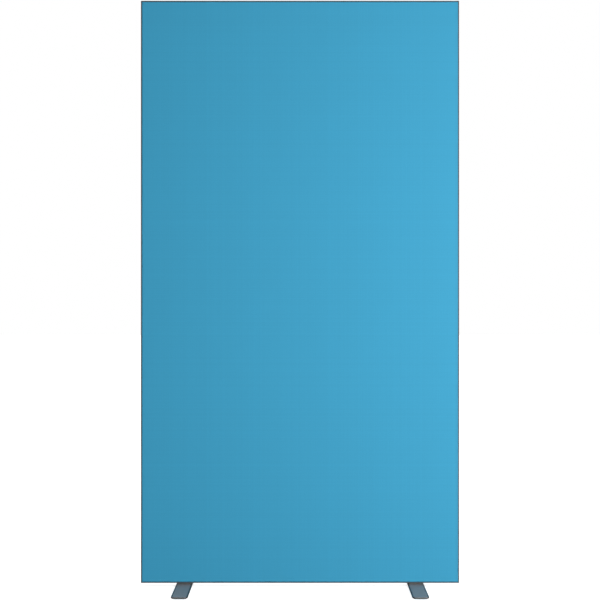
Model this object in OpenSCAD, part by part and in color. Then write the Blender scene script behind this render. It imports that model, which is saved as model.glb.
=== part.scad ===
// Free-standing office partition screen.
// Two stretched fabric skins close the front and the rear of an aluminium frame, which
// stands on two flat steel feet. Silicone strips sewn round each skin are pushed into a
// groove in the frame, so only the frame's thin outer lip shows round the fabric.
// Millimetres, +Z up. The origin is on the floor under the middle of the screen, X runs
// along its width, and its front faces -Y.

/* [Screen] */
// Width of the framed panel
panel_w = 940; // [700:10:1400]
// Height of the framed panel, without what carries it
panel_h = 1720; // [1000:10:2000]
// Depth of the frame, from its front lip to its rear lip
frame_depth = 30; // [28:1:40]

/* [Frame profile] */
// Width of the profile, from its outer face inwards
rail_w = 30; // [26:1:40]
// Thickness of the outer wall, whose edge is the lip round the fabric
lip_t = 3; // [1.5:0.1:4]
// Thickness of all the other walls of the profile
wall_t = 1.6; // [1.2:0.1:2.4]
// Depth of the hollow box behind the fabric grooves, from front to rear
box_depth = 22; // [18:1:24]
// How far the groove's inner wall stays behind the lip, which keeps it off the fabric
wall_setback = 1; // [0.8:0.1:2]

/* [Fabric] */
// Thickness of the fabric
fabric_t = 0.5; // [0.3:0.1:0.8]
// Thickness of the silicone strip sewn along each edge of the fabric
strip_t = 2.6; // [2:0.1:4]
// Height of that strip, which stands in the groove
strip_h = 7.5; // [6:0.5:9]
// How far the strips along the top and the bottom end before the corner of the fabric
strip_corner_clear = 1.5; // [0.5:0.5:3]
// Gap between the ends of two strips that meet at a corner
strip_end_gap = 4; // [2:0.5:10]
// Clearance on each side of the folded edge in its groove
groove_clear = 0.15; // [0.1:0.05:0.3]

/* [Corner keys] */
// Length of each leg of a corner key, from its outer corner
key_leg = 75; // [65:5:100]
// Chamfer at the end of each leg
key_chamfer = 3; // [1:0.5:5]
// Clearance all round a key in the hollow of the profile
key_clear = 0.2; // [0.1:0.05:0.4]
// Thread of the grub screws that jam a key in the profile
grub_d = 6; // [5:1:8]
// Hexagon socket of the grub screws, across its flats
grub_socket = 3; // [2.5:0.5:4]
// Distance from the end of a leg to its first grub screw
grub_inset = 12; // [8:1:16]
// Distance between the two grub screws of a leg
grub_pitch = 22; // [14:1:26]

/* [Cross brace] */
// Side of the square brace tube
brace_size = 20; // [16:1:24]
// Wall of the brace tube
brace_wall = 1.5; // [1:0.1:2.5]
// Length of each leg of the angle bracket at an end of the brace
bracket_leg = 26; // [24:1:40]
// Width of the angle bracket, from front to rear
bracket_w = 15; // [10:1:16]
// Thickness of the angle bracket
bracket_t = 2; // [1.5:0.5:3]
// Shank of the bracket screws
tapping_d = 4; // [3:0.5:4.5]
// Length of the bracket screws under the head
tapping_l = 9; // [7:1:12]
// Head diameter of the bracket screws
tapping_head_d = 7.6; // [6:0.2:8]
// Head height of the bracket screws
tapping_head_h = 2; // [1.5:0.1:3]
// Distance from the corner of the bracket to its first screw
bracket_screw_at = 9; // [8:1:11]
// Distance between the two screws of a leg
bracket_screw_pitch = 10; // [8.5:0.5:11]

/* [Feet] */
// Length of a foot, from front to rear
foot_l = 400; // [300:10:500]
// Width of a foot
foot_w = 48; // [40:1:80]
// Thickness of the foot plate
foot_t = 4; // [3.5:0.5:8]
// Radius of the corners of the foot plate
foot_corner_r = 12; // [6:1:18]
// Distance from the side of the panel to the middle of the foot
foot_inset = 128; // [115:1:250]
// Thickness of the spacer between the foot and the frame
spacer_t = 4; // [3:0.5:10]
// How far the spacer stays behind the front and the rear of the frame
spacer_setback = 7; // [2:0.5:8]
// How far the spacer stays inside the sides of the foot
spacer_side = 2; // [0:0.5:3]
// Radius of the corners of the spacer
spacer_corner_r = 3; // [1:0.5:5]

/* [Foot screws] */
// Thread of the screws that hold a foot
foot_screw_d = 6; // [5:0.5:6]
// Head diameter of these countersunk screws
foot_screw_head_d = 11; // [10:0.5:12]
// Hexagon socket of these screws, across its flats
foot_screw_socket = 4; // [3:0.5:5]
// Distance between the two screws of a foot
foot_screw_pitch = 26; // [20:1:28]
// Clearance of a screw in the holes that it passes through, on the diameter
screw_hole_clear = 0.6; // [0.3:0.1:0.8]
// How far the tapped plate inside the bottom rail runs past the middle of its screws
nut_plate_end = 8; // [6:0.5:12]
// Thickness of the tapped plate
nut_plate_t = 5; // [4:0.5:8]

/* [Pads] */
// Length of an anti-slip pad, from front to rear
pad_l = 40; // [20:1:80]
// Thickness of an anti-slip pad
pad_t = 2; // [1:0.5:5]
// Radius of the corners of a pad
pad_corner_r = 8; // [2:0.5:9]
// Distance from the end and the sides of the foot to its pad
pad_inset = 4; // [3:0.5:10]

/* [Hidden] */
$fn = 48;

// Past both faces of what a hole is cut in
cut = 1;
// Play between a screw and its thread, on the diameter
thread_play = 0.1;
// Depth of the sockets in the screws
socket_depth = 2.4;
// How far a screw's head or end stays below the face around it
screw_sink = 0.3;

// Heights above the floor
foot_z = pad_t;
spacer_z = foot_z + foot_t;
panel_z = spacer_z + spacer_t;

// Across the profile, measured inwards from its outer face
groove_w = fabric_t + strip_t + 2 * groove_clear;
groove_wall_at = lip_t + groove_w;
chamber_at = groove_wall_at + wall_t;
chamber_end = rail_w - wall_t;
chamber_w = chamber_end - chamber_at;
hem_at = lip_t + groove_clear;
strip_at = hem_at + fabric_t;

// Through the depth of the profile, measured from its middle
face_y = frame_depth / 2;
strip_front_y = face_y - fabric_t;
strip_back_y = strip_front_y - strip_h;
groove_floor_y = strip_back_y - groove_clear;
neck_y = groove_floor_y - wall_t;
groove_wall_y = face_y - wall_setback;
chamber_depth = box_depth - 2 * wall_t;

// Corner keys and their grub screws
key_w = chamber_w - 2 * key_clear;
key_depth = chamber_depth - 2 * key_clear;
key_at = chamber_at + key_clear;
grub_l = key_w + key_clear - screw_sink;
grub_hole_d = grub_d + screw_hole_clear;
grub_places = [for (i = [0, 1]) key_at + key_leg - grub_inset - i * grub_pitch];

// The brace is half way up the panel
brace_l = panel_w - 2 * rail_w;
brace_under_z = panel_z + panel_h / 2 - brace_size / 2;
tapping_hole_d = tapping_d + thread_play;
bracket_screw_places = [for (i = [0, 1]) bracket_screw_at + i * bracket_screw_pitch];

// Feet
foot_x = panel_w / 2 - foot_inset;
foot_hole_d = foot_screw_d + screw_hole_clear;
foot_screw_l = foot_t + spacer_t + chamber_at + nut_plate_t - 2 * screw_sink;
foot_head_h = (foot_screw_head_d - foot_screw_d) / 2;
spacer_l = frame_depth - 2 * spacer_setback;
spacer_w = foot_w - 2 * spacer_side;
nut_plate_l = foot_screw_pitch + 2 * nut_plate_end;
pad_w = foot_w - 2 * pad_inset;
pad_y = foot_l / 2 - pad_inset - pad_l / 2;

// Finishes
frame_colour = "#3e4f5b";
foot_colour = "#62747f";
fabric_colour = "#3ca0c8";
silicone_colour = "#d8dcd8";
zinc_colour = "#b4b8ba";
nylon_colour = "#6c6c68";
rubber_colour = "#26292b";

// The four edges of the panel: turn about Y, then the middle of the edge in X and Z, and its length.
// Each is drawn lying along X with the outside of the panel below it.
BOTTOM = 0;
LEFT = 1;
TOP = 2;
RIGHT = 3;
panel_mid_z = panel_z + panel_h / 2;
edges = [
    [0, 0, panel_z, panel_w],
    [90, -panel_w / 2, panel_mid_z, panel_h],
    [180, 0, panel_z + panel_h, panel_w],
    [-90, panel_w / 2, panel_mid_z, panel_h]
];

module on_edge(side) {
    translate([edges[side][1], 0, edges[side][2]])
        rotate([0, edges[side][0], 0])
            children();
}

// Places its child on the front and mirrors it to the rear.
module facing(rear) {
    mirror([0, rear ? 1 : 0, 0]) children();
}

module rounded_plate(l, w, t, r) {
    linear_extrude(t) {
        square([w - 2 * r, l], center = true);
        square([w, l - 2 * r], center = true);
        for (x = [-1, 1], y = [-1, 1])
            translate([x * (w / 2 - r), y * (l / 2 - r)]) circle(r);
    }
}

module socket(across_flats) {
    translate([0, 0, -cut])
        cylinder(d = across_flats / cos(30), h = socket_depth + cut, $fn = 6);
}

// Section of the frame profile: X is its depth, Y runs inwards from its outer face.
module rail_section() {
    difference() {
        union() {
            translate([-face_y, 0]) square([frame_depth, lip_t]);
            translate([-groove_floor_y, 0]) square([2 * groove_floor_y, chamber_at]);
            translate([-groove_wall_y, groove_wall_at]) square([2 * groove_wall_y, wall_t]);
            translate([-box_depth / 2, groove_wall_at]) square([box_depth, rail_w - groove_wall_at]);
        }
        translate([-neck_y, lip_t]) square([2 * neck_y, groove_w]);
        translate([-chamber_depth / 2, chamber_at]) square([chamber_depth, chamber_w]);
    }
}

// One side of the frame with mitred ends and the holes that reach its grub screws.
module rail(length) {
    difference() {
        intersection() {
            rotate([90, 0, 90]) linear_extrude(length, center = true) rail_section();
            rotate([90, 0, 0])
                linear_extrude(frame_depth + 2 * cut, center = true)
                    polygon([
                        [-length / 2, 0], [length / 2, 0],
                        [length / 2 - rail_w, rail_w], [rail_w - length / 2, rail_w]
                    ]);
        }
        for (end = [-1, 1], at = grub_places)
            translate([end * (length / 2 - at), 0, chamber_end - cut])
                cylinder(d = grub_hole_d, h = wall_t + 2 * cut);
    }
}

module edge_rail(side) {
    color(frame_colour) on_edge(side) rail(edges[side][3]);
}

module bottom_rail() {
    color(frame_colour) difference() {
        on_edge(BOTTOM) rail(panel_w);
        at_foot_screws() translate([0, 0, panel_z - cut])
            cylinder(d = foot_hole_d, h = chamber_at + 2 * cut);
    }
}

// side is -1 for the left stile and 1 for the right one.
module stile(side) {
    color(frame_colour) difference() {
        on_edge(side < 0 ? LEFT : RIGHT) rail(panel_h);
        at_bracket(side) for (at = bracket_screw_places)
            translate([cut, 0, -at]) rotate([0, -90, 0])
                cylinder(d = tapping_hole_d, h = wall_t + 2 * cut);
    }
}

// One corner key, drawn in the bottom left corner of the panel.
module corner_key_solid() {
    reach = key_at + key_leg;
    inner = key_at + key_w;
    difference() {
        rotate([90, 0, 0]) linear_extrude(key_depth, center = true) polygon([
            [key_at, key_at], [reach - key_chamfer, key_at], [reach, key_at + key_chamfer],
            [reach, inner - key_chamfer], [reach - key_chamfer, inner],
            [inner, inner],
            [inner, reach - key_chamfer], [inner - key_chamfer, reach],
            [key_at + key_chamfer, reach], [key_at, reach - key_chamfer]
        ]);
        at_grub_screws() translate([0, 0, -cut])
            cylinder(d = grub_d + thread_play, h = key_w + key_clear + 2 * cut);
    }
}

// Places its child at each grub screw of the bottom left corner, pointing into the frame.
module at_grub_screws() {
    for (at = grub_places) {
        translate([at, 0, chamber_at]) children();
        translate([chamber_at, 0, at]) rotate([0, 90, 0]) children();
    }
}

module grub_screw() {
    difference() {
        cylinder(d = grub_d, h = grub_l);
        translate([0, 0, grub_l]) mirror([0, 0, 1]) socket(grub_socket);
    }
}

// Places its child in one corner of the panel: x is -1 or 1 and top is true or false.
module in_corner(x, top) {
    translate([x * panel_w / 2, 0, top ? panel_z + panel_h : panel_z])
        mirror([x > 0 ? 1 : 0, 0, 0])
            mirror([0, 0, top ? 1 : 0])
                children();
}

module corner_key(x, top) {
    color(zinc_colour) in_corner(x, top) corner_key_solid();
}

module corner_key_screws() {
    color(zinc_colour) for (x = [-1, 1], top = [false, true])
        in_corner(x, top) at_grub_screws() grub_screw();
}

module cross_brace() {
    color(zinc_colour) difference() {
        translate([-brace_l / 2, -brace_size / 2, brace_under_z])
            cube([brace_l, brace_size, brace_size]);
        translate([-brace_l / 2 - cut, brace_wall - brace_size / 2, brace_under_z + brace_wall])
            cube([brace_l + 2 * cut, brace_size - 2 * brace_wall, brace_size - 2 * brace_wall]);
        for (side = [-1, 1]) at_bracket(side) for (at = bracket_screw_places)
            translate([at, 0, -cut])
                cylinder(d = tapping_hole_d, h = brace_wall + 2 * cut);
    }
}

// Places its child under an end of the brace, where it meets the stile, with X pointing inwards.
module at_bracket(side) {
    translate([side * brace_l / 2, 0, brace_under_z])
        mirror([side > 0 ? 1 : 0, 0, 0])
            children();
}

module brace_bracket(side) {
    color(zinc_colour) at_bracket(side) difference() {
        rotate([90, 0, 0]) linear_extrude(bracket_w, center = true) polygon([
            [0, 0], [bracket_leg, 0], [bracket_leg, -bracket_t], [bracket_t, -bracket_t],
            [bracket_t, -bracket_leg], [0, -bracket_leg]
        ]);
        for (at = bracket_screw_places) {
            translate([at, 0, -bracket_t - cut])
                cylinder(d = tapping_hole_d, h = bracket_t + 2 * cut);
            translate([-cut, 0, -at]) rotate([0, 90, 0])
                cylinder(d = tapping_hole_d, h = bracket_t + 2 * cut);
        }
    }
}

// A pan head screw that points up, with the face under its head at the origin.
module tapping_screw() {
    cylinder(d = tapping_d, h = tapping_l);
    translate([0, 0, -tapping_head_h]) cylinder(d = tapping_head_d, h = tapping_head_h);
}

module brace_screws() {
    color(zinc_colour) for (side = [-1, 1]) at_bracket(side) for (at = bracket_screw_places) {
        translate([at, 0, -bracket_t]) tapping_screw();
        translate([bracket_t, 0, -at]) rotate([0, -90, 0]) tapping_screw();
    }
}

// The stretched skin: a flat sheet whose edges turn down into the groove.
module fabric(rear) {
    color(fabric_colour) facing(rear) difference() {
        translate([hem_at - panel_w / 2, -face_y, panel_z + hem_at])
            cube([panel_w - 2 * hem_at, fabric_t + strip_h, panel_h - 2 * hem_at]);
        translate([strip_at - panel_w / 2, -strip_front_y, panel_z + strip_at])
            cube([panel_w - 2 * strip_at, strip_h + cut, panel_h - 2 * strip_at]);
    }
}

// The silicone strip sewn inside one edge of the skin.
// The strips along the top and bottom run past the ends of the upright ones.
module edge_strip(side, rear) {
    upright = side == LEFT || side == RIGHT;
    short = upright ? strip_t + strip_end_gap : strip_corner_clear;
    length = edges[side][3] - 2 * (strip_at + short);
    color(silicone_colour) facing(rear) on_edge(side)
        translate([-length / 2, -strip_front_y, strip_at])
            cube([length, strip_h, strip_t]);
}

// Places its child at the middle of a foot: -1 for the left one and 1 for the right one.
module at_foot(side) {
    translate([side * foot_x, 0, 0]) children();
}

module at_foot_screws() {
    for (side = [-1, 1]) at_foot(side) at_screw_pair() children();
}

module at_screw_pair() {
    for (x = [-1, 1]) translate([x * foot_screw_pitch / 2, 0, 0]) children();
}

module foot(side) {
    sunk_d = foot_screw_head_d + screw_hole_clear;
    sunk_h = (sunk_d - foot_hole_d) / 2;
    color(foot_colour) at_foot(side) translate([0, 0, foot_z]) difference() {
        rounded_plate(foot_l, foot_w, foot_t, foot_corner_r);
        at_screw_pair() {
            translate([0, 0, -cut]) cylinder(d = foot_hole_d, h = foot_t + 2 * cut);
            translate([0, 0, -cut]) cylinder(d = sunk_d, h = screw_sink + cut);
            translate([0, 0, screw_sink]) cylinder(d1 = sunk_d, d2 = foot_hole_d, h = sunk_h);
        }
    }
}

module foot_spacer(side) {
    color(nylon_colour) at_foot(side) translate([0, 0, spacer_z]) difference() {
        rounded_plate(spacer_l, spacer_w, spacer_t, spacer_corner_r);
        at_screw_pair() translate([0, 0, -cut])
            cylinder(d = foot_hole_d, h = spacer_t + 2 * cut);
    }
}

module nut_plate(side) {
    color(zinc_colour) at_foot(side) translate([0, 0, panel_z + chamber_at]) difference() {
        translate([-nut_plate_l / 2, -key_depth / 2, 0])
            cube([nut_plate_l, key_depth, nut_plate_t]);
        at_screw_pair() translate([0, 0, -cut])
            cylinder(d = foot_screw_d + thread_play, h = nut_plate_t + 2 * cut);
    }
}

module foot_screw() {
    difference() {
        union() {
            cylinder(d = foot_screw_d, h = foot_screw_l);
            cylinder(d1 = foot_screw_head_d, d2 = foot_screw_d, h = foot_head_h);
        }
        socket(foot_screw_socket);
    }
}

module foot_screws() {
    color(zinc_colour) at_foot_screws() translate([0, 0, foot_z + screw_sink]) foot_screw();
}

// y is -1 for the front pad and 1 for the rear one.
module pad(side, y) {
    color(rubber_colour) at_foot(side) translate([0, y * pad_y, 0])
        rounded_plate(pad_l, pad_w, pad_t, pad_corner_r);
}

bottom_rail();
stile(-1);  // left_stile
edge_rail(TOP);  // top_rail
stile(1);  // right_stile
corner_key(-1, false);  // corner_key_bottom_left
corner_key(-1, true);  // corner_key_top_left
corner_key(1, true);  // corner_key_top_right
corner_key(1, false);  // corner_key_bottom_right
corner_key_screws();
cross_brace();
brace_bracket(-1);  // brace_bracket_left
brace_bracket(1);  // brace_bracket_right
brace_screws();
fabric(false);  // front_fabric
edge_strip(BOTTOM, false);  // front_edge_strip_bottom
edge_strip(LEFT, false);  // front_edge_strip_left
edge_strip(TOP, false);  // front_edge_strip_top
edge_strip(RIGHT, false);  // front_edge_strip_right
fabric(true);  // rear_fabric
edge_strip(BOTTOM, true);  // rear_edge_strip_bottom
edge_strip(LEFT, true);  // rear_edge_strip_left
edge_strip(TOP, true);  // rear_edge_strip_top
edge_strip(RIGHT, true);  // rear_edge_strip_right
foot(-1);  // left_foot
foot(1);  // right_foot
foot_spacer(-1);  // left_foot_spacer
foot_spacer(1);  // right_foot_spacer
nut_plate(-1);  // left_nut_plate
nut_plate(1);  // right_nut_plate
foot_screws();
pad(-1, -1);  // left_front_pad
pad(-1, 1);  // left_rear_pad
pad(1, -1);  // right_front_pad
pad(1, 1);  // right_rear_pad
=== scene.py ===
"""Looks of the partition screen: two taut fabric skins on a mitred frame that stands on two
plate feet. Metres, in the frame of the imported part: +X to the right seen from the front, the
front towards -Y, +Z up.
"""

from math import pi, radians

import bmesh
import bpy
from mathutils import Matrix, Vector


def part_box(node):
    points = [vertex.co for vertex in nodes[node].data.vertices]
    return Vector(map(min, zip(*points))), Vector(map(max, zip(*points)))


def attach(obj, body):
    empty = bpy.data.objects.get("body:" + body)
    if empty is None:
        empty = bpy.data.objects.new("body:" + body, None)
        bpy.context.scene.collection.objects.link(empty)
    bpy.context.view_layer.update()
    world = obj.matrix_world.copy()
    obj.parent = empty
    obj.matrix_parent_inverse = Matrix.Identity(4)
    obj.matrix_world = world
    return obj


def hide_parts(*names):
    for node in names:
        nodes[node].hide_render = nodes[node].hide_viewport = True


MM = 0.001

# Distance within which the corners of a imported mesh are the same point
WELD = 0.01 * MM
# Two faces that turn less than this are one flat face
FLAT = radians(1)
# Two faces that turn less than this, and more than FLAT, belong to one round face
ROUND = radians(20)
# Two faces that turn more than this meet at a real edge
EDGE = radians(40)
# Cosine above which a direction runs along an axis
ALONG = 0.999

# Stretched skins and the silicone strips in their turned edges
CLOTH = 0.5 * MM
ROLL_OVER = 1.7 * MM
SKIN_CORNER = 2.0 * MM
STRIP_EDGE = 1.26 * MM

# Weave of the cloth: the pitch of its threads, and how high a thread's mound is and how far it
# rises over the thread that it crosses, in the weave's own measure of height
THREAD_PITCH = 1.15 * MM
THREAD_MOUND = 0.6
THREAD_RISE = 0.24
# How much brighter than its plain colour the cloth can get
CLOTH_HEADROOM = 1.25

# Frame profiles
LIP_EDGE = 0.3 * MM

# Feet and what is under and over them
FOOT_CORNER = 12 * MM
FOOT_RIM = 1.4 * MM
# Width of the painted shade line along the long sides of a foot, and how far it takes to fade
SIDE_SHADE_WIDTH = 4.0 * MM
SIDE_SHADE_FADE = 2.8 * MM
SPACER_CORNER = 3 * MM
SPACER_RIM = 0.4 * MM
PAD_CORNER = 8 * MM
PAD_RIM = 0.35 * MM

# Colours of the finishes, as linear red, green and blue
CLOTH_BLUE = (0.0375, 0.328, 0.538)
FIBRE_SHEEN = (0.72, 0.88, 1.0)
FRAME_SLATE = (0.048, 0.078, 0.103)
FOOT_GREY = (0.160, 0.165, 0.174)
# Darker copy of the foot grey for the rounded rims: painted shade on the edges
FOOT_RIM_SHADE_GREY = (0.090, 0.098, 0.106)
# Painted shade along the long sides of the feet
FOOT_SIDE_SHADE_BLACK = (0.010, 0.012, 0.014)
NYLON_GREY = (0.15, 0.15, 0.14)
RUBBER_BLACK = (0.02, 0.021, 0.023)
SILICONE_DULL = (0.58, 0.60, 0.58)
SILICONE_CLEAR = (0.66, 0.68, 0.66)
CAST_METAL = (0.55, 0.56, 0.57)
DRAWN_METAL = (0.6, 0.61, 0.62)
ZINC = (0.5, 0.5, 0.49)

# Camera, whose place is solved from the photograph's perspective, and the farthest that it sees
CAMERA_HEIGHT = 0.8459
CAMERA_DISTANCE = 4.188
SENSOR = 36.0
PICTURE = 600
FOCAL_PIXELS = 1417.5
FARTHEST = 100

# Floor, which glows a little at the near distance and is as white as the backdrop at the far one
FLOOR_RADIUS = 30
FLOOR_GLOW = 0.72
FLOOR_NEAR = 0.9
FLOOR_FAR = 3.2
# Grey of the floor as the camera sees it, and as it throws light back on the screen
FLOOR_SEEN = (0.6, 0.6, 0.6)
FLOOR_SHED = (0.22, 0.22, 0.22)
# Height over the floor below which a surface gets light through it
CLEAR_HEIGHT = 15 * MM

# Light that the backdrop sheds all round, and what it adds straight behind the screen
FRONT_LIGHT = 0.26
REAR_LIGHT = 1.2
# Point that the soft lights beside the screen face
PANEL_MIDDLE = (0, 0, 0.87)

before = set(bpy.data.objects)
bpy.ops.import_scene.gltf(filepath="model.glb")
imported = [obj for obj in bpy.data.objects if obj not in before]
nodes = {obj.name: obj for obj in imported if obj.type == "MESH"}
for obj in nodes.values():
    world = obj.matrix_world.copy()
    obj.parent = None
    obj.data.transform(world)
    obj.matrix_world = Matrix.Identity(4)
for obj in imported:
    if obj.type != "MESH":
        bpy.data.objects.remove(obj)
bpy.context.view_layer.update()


# What the materials are made of

def feed(tree, socket, value):
    """Sets a socket to a value, or links another node's output to it."""
    if isinstance(value, bpy.types.NodeSocket):
        tree.links.new(value, socket)
    else:
        socket.default_value = value


def calc(tree, operation, *values):
    """A Math node over values or outputs."""
    node = tree.nodes.new("ShaderNodeMath")
    node.operation = operation
    for socket, value in zip(node.inputs, values):
        feed(tree, socket, value)
    return node.outputs[0]


def spread(tree, value, low, high, start=0.0, end=1.0):
    """Turns a value from start to end into one from low to high."""
    node = tree.nodes.new("ShaderNodeMapRange")
    feed(tree, node.inputs["Value"], value)
    node.inputs["From Min"].default_value = start
    node.inputs["From Max"].default_value = end
    node.inputs["To Min"].default_value = low
    node.inputs["To Max"].default_value = high
    return node.outputs["Result"]


def either(tree, choice, first, second):
    """The first value where the choice is 0, the second where it is 1, and a mix in between."""
    return calc(tree, "MULTIPLY_ADD", choice, calc(tree, "SUBTRACT", second, first), first)


def place(tree, stretch=(1, 1, 1)):
    """Object coordinates, stretched along each axis."""
    coordinates = tree.nodes.new("ShaderNodeTexCoord")
    mapping = tree.nodes.new("ShaderNodeMapping")
    mapping.inputs["Scale"].default_value = stretch
    tree.links.new(coordinates.outputs["Object"], mapping.inputs["Vector"])
    return mapping.outputs["Vector"]


def along_axes(tree, vector):
    """The X, Y and Z of a vector, by name."""
    split = tree.nodes.new("ShaderNodeSeparateXYZ")
    tree.links.new(vector, split.inputs[0])
    return split.outputs


def noise(tree, vector, scale, detail=3.0, roughness=0.55):
    """Smooth random values from 0 to 1, with the scale in features per metre."""
    node = tree.nodes.new("ShaderNodeTexNoise")
    tree.links.new(vector, node.inputs["Vector"])
    node.inputs["Scale"].default_value = scale
    node.inputs["Detail"].default_value = detail
    node.inputs["Roughness"].default_value = roughness
    return node.outputs["Fac"]


def shaded(colour, amount=1.0):
    """The colour times an amount, with its alpha."""
    return (*(part * amount for part in colour), 1.0)


def tinted(tree, factor, low, high):
    """A colour between two colours."""
    node = tree.nodes.new("ShaderNodeMix")
    node.data_type = "RGBA"
    feed(tree, node.inputs["Factor"], factor)
    feed(tree, node.inputs["A"], low)
    feed(tree, node.inputs["B"], high)
    return node.outputs["Result"]


def uneven(tree, factor, colour, low, high):
    """The colour times an amount from low to high."""
    return tinted(tree, factor, shaded(colour, low), shaded(colour, high))


def raised(tree, height, distance, strength, under=None):
    """A bump of this real height, over another one if given."""
    node = tree.nodes.new("ShaderNodeBump")
    node.inputs["Strength"].default_value = strength
    node.inputs["Distance"].default_value = distance
    tree.links.new(height, node.inputs["Height"])
    if under is not None:
        tree.links.new(under, node.inputs["Normal"])
    return node.outputs["Normal"]


def new_material(name, **constants):
    """A material with its tree and its shader, whose plain values are set by name."""
    material = bpy.data.materials.new(name)
    material.use_nodes = True
    tree = material.node_tree
    shader = tree.nodes["Principled BSDF"]
    for key, value in constants.items():
        shader.inputs[key.replace("_", " ")].default_value = value
    return material, tree, shader


def finish(tree, shader, colour, roughness, surface):
    """Gives the shader a colour, a roughness and a bump that all vary over the surface."""
    tree.links.new(colour, shader.inputs["Base Color"])
    tree.links.new(roughness, shader.inputs["Roughness"])
    tree.links.new(surface, shader.inputs["Normal"])


# Materials

def plain_weave(tree):
    """Height of a plain weave in the panel's plane, which of its threads is on top, and its tone.

    Each thread is a long mound across its own width, which rises and sinks along its length.
    The thread on top is 1 where it lies level and 0 where it stands upright.
    """
    spot = along_axes(tree, place(tree, (1 / THREAD_PITCH, 1 / THREAD_PITCH, 1 / THREAD_PITCH)))
    surfaces, tones = [], []
    for across, along, shift in (("X", "Z", -0.5), ("Z", "X", 0.5)):
        thread = calc(tree, "FLOOR", spot[across])
        off_middle = calc(tree, "SUBTRACT", calc(tree, "FRACT", spot[across]), 0.5)
        squared = calc(tree, "MULTIPLY", off_middle, off_middle)
        mound = calc(tree, "MULTIPLY_ADD", squared, -4 * THREAD_MOUND, THREAD_MOUND)
        phase = calc(tree, "ADD", calc(tree, "ADD", spot[along], shift), thread)
        wave = calc(tree, "COSINE", calc(tree, "MULTIPLY", phase, pi))
        surfaces.append(calc(tree, "MULTIPLY_ADD", wave, THREAD_RISE, mound))
        tone = tree.nodes.new("ShaderNodeTexWhiteNoise")
        tone.noise_dimensions = "1D"
        tree.links.new(thread, tone.inputs["W"])
        tones.append(tone.outputs["Value"])
    level_on_top = calc(tree, "GREATER_THAN", surfaces[1], surfaces[0])
    height = calc(tree, "MAXIMUM", *surfaces)
    return height, level_on_top, either(tree, level_on_top, *tones)


def screen_fabric():
    """Plain-woven polyester in mid blue, matt, with a slight sheen of its fibres and painted shade
    in the gaps between its threads.
    """
    material, tree, shader = new_material(
        "screen_fabric_woven", Specular_IOR_Level=0.35, Sheen_Weight=0.08,
        Sheen_Roughness=0.45, Sheen_Tint=shaded(FIBRE_SHEEN),
    )
    height, level_on_top, tone = plain_weave(tree)
    upright_fibres = noise(tree, place(tree, (1, 1, 0.12)), scale=6400.0, detail=2.0)
    level_fibres = noise(tree, place(tree, (0.12, 1, 1)), scale=6400.0, detail=2.0)
    fibres = either(tree, level_on_top, upright_fibres, level_fibres)
    cloudy = noise(tree, place(tree), scale=9.0, detail=2.0)
    parts = [
        spread(tree, tone, 0.965, 1.025),
        # Painted shade: the cloth gets darker where the weave lies low, in the gaps between its
        # threads
        spread(tree, height, -0.11, 0.05, end=THREAD_MOUND + THREAD_RISE),
        spread(tree, fibres, -0.045, 0.045),
        spread(tree, cloudy, -0.012, 0.012),
    ]
    light = parts[0]
    for part in parts[1:]:
        light = calc(tree, "ADD", light, part)
    share = calc(tree, "MULTIPLY", light, 1 / CLOTH_HEADROOM)
    surface = raised(tree, fibres, distance=0.05 * MM, strength=0.5)
    surface = raised(tree, height, distance=0.26 * MM, strength=0.6, under=surface)
    colour = uneven(tree, share, CLOTH_BLUE, 0.0, CLOTH_HEADROOM)
    finish(tree, shader, colour, spread(tree, fibres, 0.66, 0.86), surface)
    return material


def powder_coat(name, colour, roughness):
    """A satin powder coat: fine orange peel, a faint uneven tone and uneven gloss."""
    material, tree, shader = new_material(name, Specular_IOR_Level=0.5)
    peel = noise(tree, place(tree), scale=950.0, detail=2.0)
    grain = noise(tree, place(tree), scale=4200.0, detail=1.0)
    cloudy = noise(tree, place(tree), scale=26.0)
    speck = either(tree, 0.4, cloudy, grain)
    gloss = spread(tree, cloudy, roughness - 0.05, roughness + 0.05)
    surface = raised(tree, grain, distance=0.008 * MM, strength=0.6)
    surface = raised(tree, peel, distance=0.03 * MM, strength=0.5, under=surface)
    finish(tree, shader, uneven(tree, speck, colour, 0.92, 1.08), gloss, surface)
    return material


def foot_coat(name, colour, roughness):
    """A powder coat with painted shade: it turns nearly black in a soft line along both long sides
    of a foot.
    """
    material = powder_coat(name, colour, roughness)
    tree = material.node_tree
    low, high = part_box("right_foot")
    middle, half = (low.x + high.x) / 2, (high.x - low.x) / 2
    from_panel_middle = calc(tree, "ABSOLUTE", along_axes(tree, place(tree))["X"])
    from_foot_middle = calc(tree, "ABSOLUTE", calc(tree, "SUBTRACT", from_panel_middle, middle))
    # Painted shade: the coat fades to nearly black towards both long sides of the foot
    inner = half - SIDE_SHADE_WIDTH - SIDE_SHADE_FADE / 2
    painted_side_shade = spread(tree, from_foot_middle, 0.0, 1.0, inner, inner + SIDE_SHADE_FADE)
    base = tree.nodes["Principled BSDF"].inputs["Base Color"]
    plain = base.links[0].from_socket
    tree.links.new(tinted(tree, painted_side_shade, plain, shaded(FOOT_SIDE_SHADE_BLACK)), base)
    return material


def moulded(name, colour, roughness, grain_scale, grain_depth):
    """Moulded plastic or rubber with a fine texture from its mould."""
    material, tree, shader = new_material(name, Specular_IOR_Level=0.45)
    grain = noise(tree, place(tree), grain_scale, detail=2.0)
    cloudy = noise(tree, place(tree), scale=90.0)
    gloss = spread(tree, grain, roughness - 0.07, roughness + 0.07)
    surface = raised(tree, grain, grain_depth, strength=0.7)
    finish(tree, shader, uneven(tree, cloudy, colour, 0.93, 1.07), gloss, surface)
    return material


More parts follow.
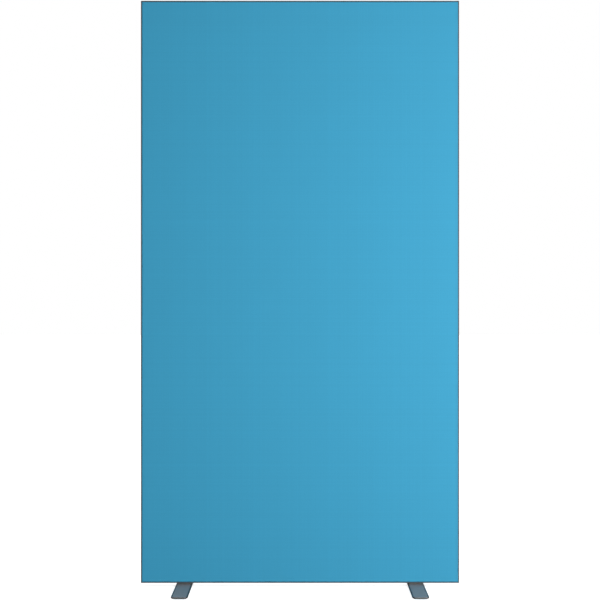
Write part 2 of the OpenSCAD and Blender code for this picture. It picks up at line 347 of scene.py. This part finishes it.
def silicone():
    """Extruded translucent silicone, with the faint draw lines of its die."""
    material, tree, shader = new_material(
        "silicone_strip", Specular_IOR_Level=0.4, Subsurface_Weight=0.25,
        Subsurface_Radius=(2 * MM, 2 * MM, 2 * MM), Subsurface_Scale=1.0,
    )
    lines = noise(tree, place(tree, (1, 60, 1)), scale=40.0, detail=1.0)
    colour = tinted(tree, lines, shaded(SILICONE_DULL), shaded(SILICONE_CLEAR))
    surface = raised(tree, lines, distance=0.02 * MM, strength=0.5)
    finish(tree, shader, colour, spread(tree, lines, 0.32, 0.44), surface)
    return material


def bare_metal(name, colour, roughness, stretch, grain_scale, grain_depth):
    """Uncoated metal whose grain is drawn out along one axis, or even on a casting."""
    material, tree, shader = new_material(name, Metallic=1.0)
    grain = noise(tree, place(tree, stretch), grain_scale)
    cloudy = noise(tree, place(tree), scale=60.0)
    gloss = spread(tree, grain, roughness - 0.08, roughness + 0.08)
    surface = raised(tree, grain, grain_depth, strength=0.6)
    finish(tree, shader, uneven(tree, cloudy, colour, 0.9, 1.06), gloss, surface)
    return material


# Shapes

def block(low, high):
    """A box between two corners."""
    bm = bmesh.new()
    stretch = Matrix.Diagonal((*(high - low), 1))
    bmesh.ops.create_cube(bm, size=1, matrix=Matrix.Translation((low + high) / 2) @ stretch)
    return bm


def runs_along(edge, axis):
    """Whether a straight edge runs along an axis."""
    return abs((edge.verts[1].co - edge.verts[0].co).normalized()[axis]) > ALONG


def round_edges(bm, edges, radius, segments):
    """Rounds edges, shades the rounding smooth and gives its faces."""
    made = bmesh.ops.bevel(
        bm, geom=edges, offset=radius, offset_type="OFFSET", segments=segments,
        profile=0.5, affect="EDGES", material=-1, clamp_overlap=True,
    )
    for face in made["faces"]:
        face.smooth = True
    return made["faces"]


def finished(bm, name, materials, stands_for):
    """A piece of the screen from a finished shape, in place of a packed one."""
    mesh = bpy.data.meshes.new(name)
    bm.to_mesh(mesh)
    bm.free()
    piece = bpy.data.objects.new(name, mesh)
    bpy.context.scene.collection.objects.link(piece)
    for material in materials:
        mesh.materials.append(material)
    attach(piece, "root")
    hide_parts(stands_for)
    return piece


def skin(name, node, out, material):
    """A taut skin whose edges roll over into the frame's groove. out is -1 in front and 1 behind."""
    low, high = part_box(node)
    bm = block(low, high)
    back = [face for face in bm.faces if face.normal.y * out < -ALONG]
    bmesh.ops.delete(bm, geom=back, context="FACES")
    corners = [edge for edge in bm.edges if runs_along(edge, 1)]
    round_edges(bm, corners, SKIN_CORNER, segments=6)
    face_y = high.y if out > 0 else low.y
    rim = [edge for edge in bm.edges if all(abs(v.co.y - face_y) < WELD for v in edge.verts)]
    round_edges(bm, rim, ROLL_OVER, segments=8)
    bmesh.ops.recalc_face_normals(bm, faces=bm.faces)
    bmesh.ops.solidify(bm, geom=bm.faces, thickness=CLOTH)
    piece = finished(bm, name, [material], node)


def merged_copy(node):
    """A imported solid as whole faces, with its round faces shaded smooth."""
    bm = bmesh.new()
    bm.from_mesh(nodes[node].data)
    bmesh.ops.remove_doubles(bm, verts=bm.verts, dist=WELD)
    bmesh.ops.dissolve_limit(bm, angle_limit=FLAT, verts=bm.verts, edges=bm.edges)
    for face in bm.faces:
        face.smooth = any(FLAT < edge.calc_face_angle(0) < ROUND for edge in face.edges)
    return bm


def sharp_edges(bm, test):
    """The real edges whose two ends both pass a test."""
    return [
        edge for edge in bm.edges
        if edge.calc_face_angle(0) > EDGE and all(test(v.co) for v in edge.verts)
    ]


def profile(name, node, material):
    """One side of the frame, with the edges of its two lips rounded along it and at its mitres."""
    bm = merged_copy(node)
    face_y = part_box(node)[1].y
    lips = sharp_edges(bm, lambda co: abs(abs(co.y) - face_y) < WELD)
    round_edges(bm, lips, LIP_EDGE, segments=3)
    finished(bm, name, [material], node)


def edge_strip(name, node, material):
    """A silicone strip with all its edges well rounded, as it lies inside the rolled fabric."""
    bm = merged_copy(node)
    round_edges(bm, list(bm.edges), STRIP_EDGE, segments=4)
    finished(bm, name, [material], node)


def plate(name, node, materials, corner, rim, segments):
    """A rounded plate, with its screw holes if it has any and a rounded rim above and below.

    The rim has the last of the materials; on the feet that is a darker copy of the coat, as painted
    shade on the rounded edges.
    """
    bm = merged_copy(node)
    low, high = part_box(node)
    centre, half = (low + high) / 2, (high - low) / 2

    def on_outline(co):
        """Whether a point lies on a side or at an end of the plate, where it has no hole."""
        return abs(co.x - centre.x) > half.x - WELD or abs(co.y - centre.y) > half.y - corner - WELD

    rims = [edge for edge in sharp_edges(bm, on_outline) if not runs_along(edge, 2)]
    for face in round_edges(bm, rims, rim, segments):
        face.material_index = len(materials) - 1
    finished(bm, name, materials, node)


# The floor, the lights and the camera

def pale_floor():
    """A pale floor that fades into the backdrop and keeps only faint contact shadows.

    Seen from below it is clear, and it lets light through to what is close over it, so that the
    underside of the screen shows.
    """
    material = bpy.data.materials.new("pale_floor")
    material.use_nodes = True
    tree = material.node_tree
    tree.nodes.clear()
    output = tree.nodes.new("ShaderNodeOutputMaterial")
    matt = tree.nodes.new("ShaderNodeBsdfDiffuse")
    glow = tree.nodes.new("ShaderNodeEmission")
    both = tree.nodes.new("ShaderNodeAddShader")
    path = tree.nodes.new("ShaderNodeLightPath")
    seen = path.outputs["Is Camera Ray"]
    matt_colour = tinted(tree, seen, shaded(FLOOR_SHED), shaded(FLOOR_SEEN))
    tree.links.new(matt_colour, matt.inputs["Color"])
    away = tree.nodes.new("ShaderNodeVectorMath")
    away.operation = "LENGTH"
    tree.links.new(place(tree), away.inputs[0])
    white = spread(tree, away.outputs["Value"], FLOOR_GLOW, 1.0, FLOOR_NEAR, FLOOR_FAR)
    tree.links.new(calc(tree, "MULTIPLY", seen, white), glow.inputs["Strength"])
    tree.links.new(matt.outputs[0], both.inputs[0])
    tree.links.new(glow.outputs[0], both.inputs[1])
    from_below = tree.nodes.new("ShaderNodeNewGeometry").outputs["Backfacing"]
    from_close = calc(tree, "LESS_THAN", path.outputs["Ray Length"], CLEAR_HEIGHT)
    pane = tree.nodes.new("ShaderNodeMixShader")
    tree.links.new(calc(tree, "MAXIMUM", from_below, from_close), pane.inputs["Fac"])
    tree.links.new(both.outputs[0], pane.inputs[1])
    tree.links.new(tree.nodes.new("ShaderNodeBsdfTransparent").outputs[0], pane.inputs[2])
    tree.links.new(pane.outputs[0], output.inputs["Surface"])
    return material


def floor():
    """A wide round floor under the screen, which is a stage and no part of it."""
    bm = bmesh.new()
    bmesh.ops.create_circle(bm, cap_ends=True, segments=64, radius=FLOOR_RADIUS)
    mesh = bpy.data.meshes.new("floor")
    bm.to_mesh(mesh)
    bm.free()
    ground = bpy.data.objects.new("floor", mesh)
    bpy.context.scene.collection.objects.link(ground)
    mesh.materials.append(pale_floor())


def surroundings():
    """A white backdrop that sheds a little light of its own, and more of it behind the screen."""
    world = bpy.data.worlds.new("studio")
    bpy.context.scene.world = world
    world.use_nodes = True
    tree = world.node_tree
    way = along_axes(tree, tree.nodes.new("ShaderNodeTexCoord").outputs["Generated"])
    behind = calc(tree, "MAXIMUM", way["Y"], 0.0)
    shed = calc(tree, "MULTIPLY_ADD", behind, REAR_LIGHT, FRONT_LIGHT)
    seen = tree.nodes.new("ShaderNodeLightPath").outputs["Is Camera Ray"]
    backdrop = tree.nodes["Background"]
    backdrop.inputs["Color"].default_value = (1, 1, 1, 1)
    tree.links.new(either(tree, seen, shed, 1.0), backdrop.inputs["Strength"])


def soft_light(name, at, aim, size, power):
    """A soft box of a width and a height, which itself doesn't show."""
    light = bpy.data.lights.new(name, "AREA")
    light.shape = "RECTANGLE"
    light.size, light.size_y = size
    light.energy = power
    lamp = bpy.data.objects.new(name, light)
    bpy.context.scene.collection.objects.link(lamp)
    lamp.location = at
    lamp.rotation_euler = (Vector(aim) - Vector(at)).to_track_quat("-Z", "Y").to_euler()
    lamp.visible_camera = False


def lights():
    """A large key light at the front right, one behind at the left, and a narrow one overhead.

    The one overhead hangs just in front of the panel, so it reaches the feet right up to it.
    """
    soft_light("key_light", at=(1.87, -2.5, 0.98), aim=PANEL_MIDDLE, size=(2.4, 1.9), power=109)
    soft_light("rear_light", at=(-1.7, 2.8, 2.5), aim=PANEL_MIDDLE, size=(2.8, 2.2), power=66)
    soft_light("top_light", at=(0, -0.11, 6.0), aim=(0, -0.11, 0), size=(0.8, 0.18), power=104)


def camera():
    """A level camera straight in front of the screen."""
    data = bpy.data.cameras.new("camera")
    data.sensor_width = SENSOR
    data.lens = FOCAL_PIXELS * SENSOR / PICTURE
    data.clip_end = FARTHEST
    eye = bpy.data.objects.new("camera", data)
    bpy.context.scene.collection.objects.link(eye)
    front_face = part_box("front_fabric")[0].y
    eye.location = (0, front_face - CAMERA_DISTANCE, CAMERA_HEIGHT)
    eye.rotation_euler = (pi / 2, 0, 0)
    bpy.context.scene.camera = eye


# The screen

def skins():
    """Both skins, and the four silicone strips in the turned edges of each."""
    fabric = screen_fabric()
    skin("front_skin", "front_fabric", out=-1, material=fabric)
    skin("rear_skin", "rear_fabric", out=1, material=fabric)
    soft_strip = silicone()
    for face in ("front", "rear"):
        for side in ("bottom", "left", "top", "right"):
            edge_strip(f"{face}_{side}_silicone", f"{face}_edge_strip_{side}", soft_strip)


def frame_profiles():
    """The four mitred profiles of the frame."""
    coat = powder_coat("frame_coat_satin", FRAME_SLATE, roughness=0.66)
    for name, node in (
        ("bottom_profile", "bottom_rail"), ("left_profile", "left_stile"),
        ("top_profile", "top_rail"), ("right_profile", "right_stile"),
    ):
        profile(name, node, coat)


def feet():
    """Both plate feet, each with its spacer and its two pads."""
    coats = [
        foot_coat("foot_coat_satin", FOOT_GREY, roughness=0.40),
        # The rim coat is a darker copy: painted shade on the rounded edges of the plates
        foot_coat("foot_coat_rim_painted_shade", FOOT_RIM_SHADE_GREY, roughness=0.46),
    ]
    nylon = moulded(
        "spacer_nylon_moulded", NYLON_GREY, roughness=0.5, grain_scale=2400.0,
        grain_depth=0.02 * MM,
    )
    rubber = moulded(
        "pad_rubber_stippled", RUBBER_BLACK, roughness=0.78, grain_scale=1500.0,
        grain_depth=0.12 * MM,
    )
    for side in ("left", "right"):
        plate(
            f"{side}_foot_plate", f"{side}_foot", coats,
            corner=FOOT_CORNER, rim=FOOT_RIM, segments=5,
        )
        plate(
            f"{side}_spacer_block", f"{side}_foot_spacer", [nylon],
            corner=SPACER_CORNER, rim=SPACER_RIM, segments=3,
        )
        for end in ("front", "rear"):
            plate(
                f"{side}_{end}_rubber", f"{side}_{end}_pad", [rubber],
                corner=PAD_CORNER, rim=PAD_RIM, segments=3,
            )


def dress(names, material):
    """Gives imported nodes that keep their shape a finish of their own."""
    for name in names:
        for slot in nodes[name].material_slots:
            slot.link = "OBJECT"
            slot.material = material


def inner_metal():
    """The keys, brace and fasteners, which the skins and the feet hide."""
    cast = bare_metal(
        "key_metal_cast", CAST_METAL, roughness=0.5, stretch=(1, 1, 1),
        grain_scale=900.0, grain_depth=0.05 * MM,
    )
    drawn = bare_metal(
        "brace_metal_drawn", DRAWN_METAL, roughness=0.33, stretch=(2, 120, 120),
        grain_scale=12.0, grain_depth=0.01 * MM,
    )
    zinc = bare_metal(
        "fastener_steel_zinc", ZINC, roughness=0.34, stretch=(1, 1, 1),
        grain_scale=700.0, grain_depth=0.01 * MM,
    )
    corners = ("bottom_left", "top_left", "top_right", "bottom_right")
    dress([f"corner_key_{corner}" for corner in corners], cast)
    dress(["cross_brace"], drawn)
    dress(
        ["corner_key_screws", "brace_bracket_left", "brace_bracket_right", "brace_screws",
         "left_nut_plate", "right_nut_plate", "foot_screws"],
        zinc,
    )


def main():
    """The stage first, and then the screen from the outside in."""
    bpy.context.scene.view_settings.view_transform = "Standard"
    camera()
    surroundings()
    floor()
    lights()
    skins()
    frame_profiles()
    feet()
    inner_metal()


main()
